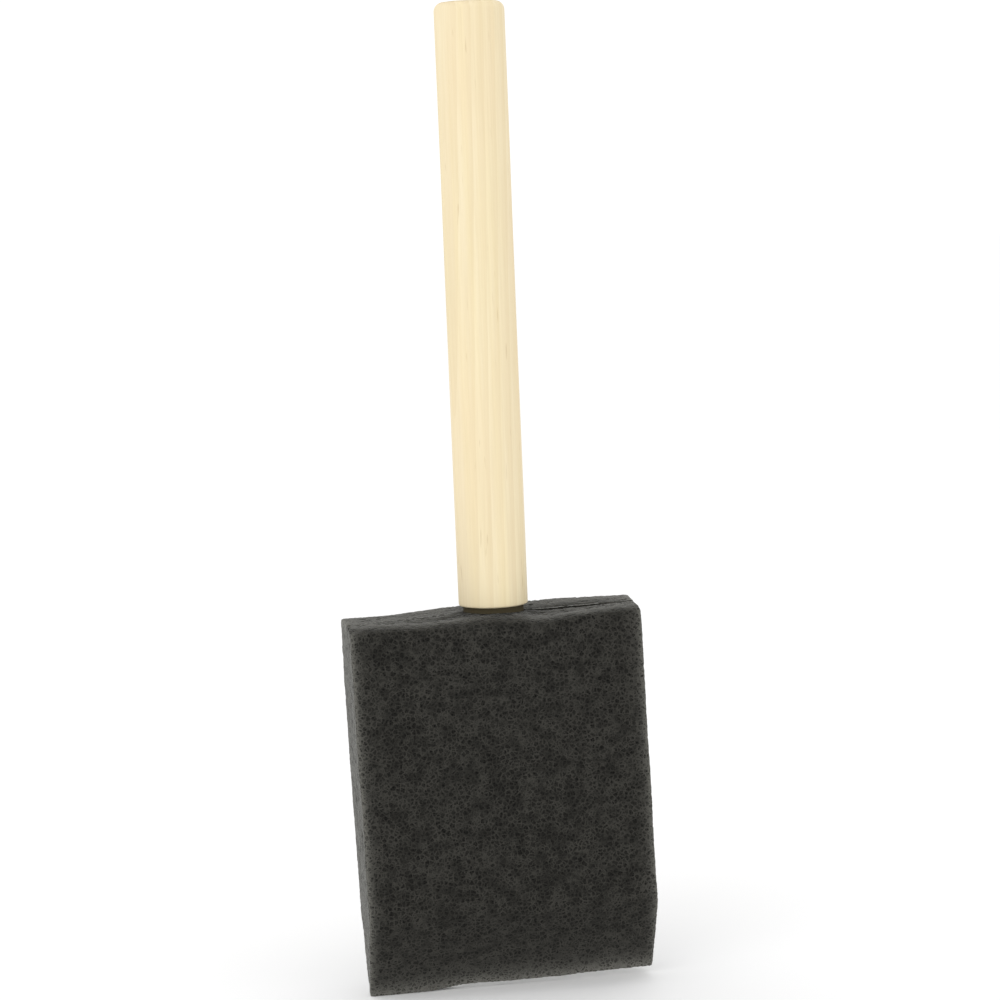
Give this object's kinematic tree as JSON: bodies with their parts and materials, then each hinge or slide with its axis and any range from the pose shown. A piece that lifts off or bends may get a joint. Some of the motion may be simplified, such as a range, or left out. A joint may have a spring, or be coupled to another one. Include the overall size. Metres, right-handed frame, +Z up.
{
  "type": "foam sponge brush",
  "caption": "Foam sponge brush: a round wooden handle glued into a plastic core, inside a foam block cut to a chisel edge for paint or stain.",
  "frame": {"origin": "middle of the foam's working edge, the lowest point of the brush", "axes": "+Z up the handle, X across the foam's width, Y through the foam's thickness, with one broad face towards -Y"},
  "size_m": [0.05, 0.0204, 0.169],
  "materials": {
    "birch": "bare sanded hardwood dowel with a fine straight grain",
    "core_plastic": "plain moulded polypropylene, satin",
    "glue": "set hot-melt glue, smooth and slightly glossy",
    "foam": "dark grey open-cell polyurethane foam, matt, with cut faces"
  },
  "bodies": {
    "brush": {"handle": "birch", "blade_core": "core_plastic", "socket_glue": "glue", "blade_glue": "glue", "foam_head": "foam"},
    "tip": {"foam_tip": "foam"}
  },
  "joints": [
    {"name": "foam_flex", "type": "hinge", "parent": "brush", "child": "tip", "pos_m": [0, 0, 0.015], "axis": [1, 0, 0], "range_deg": [-35, 35], "stiffness_Nm_per_rad": 0.05}
  ]
}
